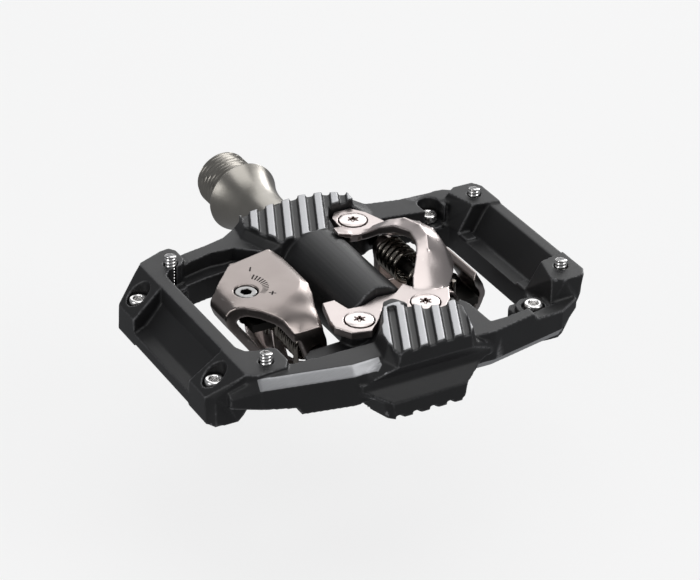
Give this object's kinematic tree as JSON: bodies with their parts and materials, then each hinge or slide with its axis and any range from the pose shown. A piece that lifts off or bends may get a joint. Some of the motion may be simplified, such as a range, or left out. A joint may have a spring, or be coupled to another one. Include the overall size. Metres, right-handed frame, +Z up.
{
  "type": "clipless pedal",
  "caption": "Two-sided clipless trail bicycle pedal with a caged platform, sprung rear claws, fixed front claws and a turning spindle.",
  "frame": {"origin": "on the spindle axis, at the face of the spindle's shoulder that seats against the crank arm", "axes": "+Y along the spindle towards the crank, +X along the length of the platform, +Z up; half a turn about Y maps the platform onto itself"},
  "size_m": [0.1004, 0.1074, 0.0304],
  "materials": {
    "anodised_body": "matte black anodised forging with bright machined rib tops",
    "claw_steel": "warm grey satin plated steel",
    "plate_steel": "satin nickel plated steel, slightly warm",
    "bright_steel": "bright zinc plated steel",
    "spindle_steel": "satin turned steel",
    "spring_steel": "dark polished spring wire",
    "seal_rubber": "matte rubber",
    "sleeve_alloy": "dark anodised alloy"
  },
  "bodies": {
    "axle": {"spindle": "spindle_steel", "adjusting_cone": "spindle_steel", "lock_nut": "spindle_steel"},
    "platform": {"pedal_body": "anodised_body", "seal_ring": "seal_rubber", "lock_sleeve": "sleeve_alloy", "inboard_bearing_cup": "spindle_steel", "outboard_bearing_cup": "spindle_steel", "front_binding_top": "plate_steel", "pivot_pin_top": "spindle_steel", "inner_torsion_spring_top": "spring_steel", "outer_torsion_spring_top": "spring_steel", "binding_screw_top_1": "bright_steel", "binding_screw_top_2": "bright_steel", "binding_screw_top_3": "bright_steel", "pin_top_left_inner": "bright_steel", "pin_top_left_outer": "bright_steel", "pin_top_right_inner": "bright_steel", "pin_top_right_outer": "bright_steel", "front_binding_bottom": "plate_steel", "pivot_pin_bottom": "spindle_steel", "inner_torsion_spring_bottom": "spring_steel", "outer_torsion_spring_bottom": "spring_steel", "binding_screw_bottom_1": "bright_steel", "binding_screw_bottom_2": "bright_steel", "binding_screw_bottom_3": "bright_steel", "pin_bottom_left_inner": "bright_steel", "pin_bottom_left_outer": "bright_steel", "pin_bottom_right_inner": "bright_steel", "pin_bottom_right_outer": "bright_steel"},
    "inboard_balls": {"inboard_ball_ring": "spindle_steel"},
    "outboard_balls": {"outboard_ball_ring": "spindle_steel"},
    "rear_claw_top": {"rear_binding_top": "claw_steel"},
    "tension_screw_top": {"tension_screw_top": "bright_steel"},
    "tension_plate_top": {"tension_plate_top": "spindle_steel"},
    "rear_claw_bottom": {"rear_binding_bottom": "claw_steel"},
    "tension_screw_bottom": {"tension_screw_bottom": "bright_steel"},
    "tension_plate_bottom": {"tension_plate_bottom": "spindle_steel"}
  },
  "joints": [
    {"name": "body_spin", "type": "hinge", "parent": "axle", "child": "platform", "pos_m": [0, -0.0565, 0], "axis": [0, 1, 0], "continuous": true},
    {"name": "inboard_balls_orbit", "type": "hinge", "parent": "axle", "child": "inboard_balls", "pos_m": [0, -0.0354, 0], "axis": [0, 1, 0], "continuous": true},
    {"name": "outboard_balls_orbit", "type": "hinge", "parent": "axle", "child": "outboard_balls", "pos_m": [0, -0.054, 0], "axis": [0, 1, 0], "continuous": true},
    {"name": "rear_claw_top_release", "type": "hinge", "parent": "platform", "child": "rear_claw_top", "pos_m": [-0.0175, -0.0565, -0.002], "axis": [0, -1, 0], "range_deg": [0, 13], "stiffness_Nm_per_rad": 1.5, "springref_deg": -34.38, "deforming": ["inner_torsion_spring_top", "outer_torsion_spring_top"]},
    {"name": "tension_plate_top_travel", "type": "slide", "parent": "rear_claw_top", "child": "tension_plate_top", "axis": [0, 0, 1], "range_m": [-0.00105, 0.00105]},
    {"name": "tension_screw_top_turn", "type": "hinge", "parent": "rear_claw_top", "child": "tension_screw_top", "pos_m": [-0.0279, -0.0565, 0], "axis": [0, 0, 1], "range_deg": [-540, 540]},
    {"name": "rear_claw_bottom_release", "type": "hinge", "parent": "platform", "child": "rear_claw_bottom", "pos_m": [0.0175, -0.0565, 0.002], "axis": [0, -1, 0], "range_deg": [0, 13], "stiffness_Nm_per_rad": 1.5, "springref_deg": -34.38, "deforming": ["inner_torsion_spring_bottom", "outer_torsion_spring_bottom"]},
    {"name": "tension_plate_bottom_travel", "type": "slide", "parent": "rear_claw_bottom", "child": "tension_plate_bottom", "axis": [0, 0, -1], "range_m": [-0.00105, 0.00105]},
    {"name": "tension_screw_bottom_turn", "type": "hinge", "parent": "rear_claw_bottom", "child": "tension_screw_bottom", "pos_m": [0.0279, -0.0565, 0], "axis": [0, 0, -1], "range_deg": [-540, 540]}
  ],
  "couplings": [
    {"joint": "inboard_balls_orbit", "follows": "body_spin", "ratio": 0.6091},
    {"joint": "outboard_balls_orbit", "follows": "body_spin", "ratio": 0.6091},
    {"joint": "tension_screw_top_turn", "follows": "tension_plate_top_travel", "rad_per_m": -8976},
    {"joint": "tension_screw_bottom_turn", "follows": "tension_plate_bottom_travel", "rad_per_m": -8976}
  ]
}
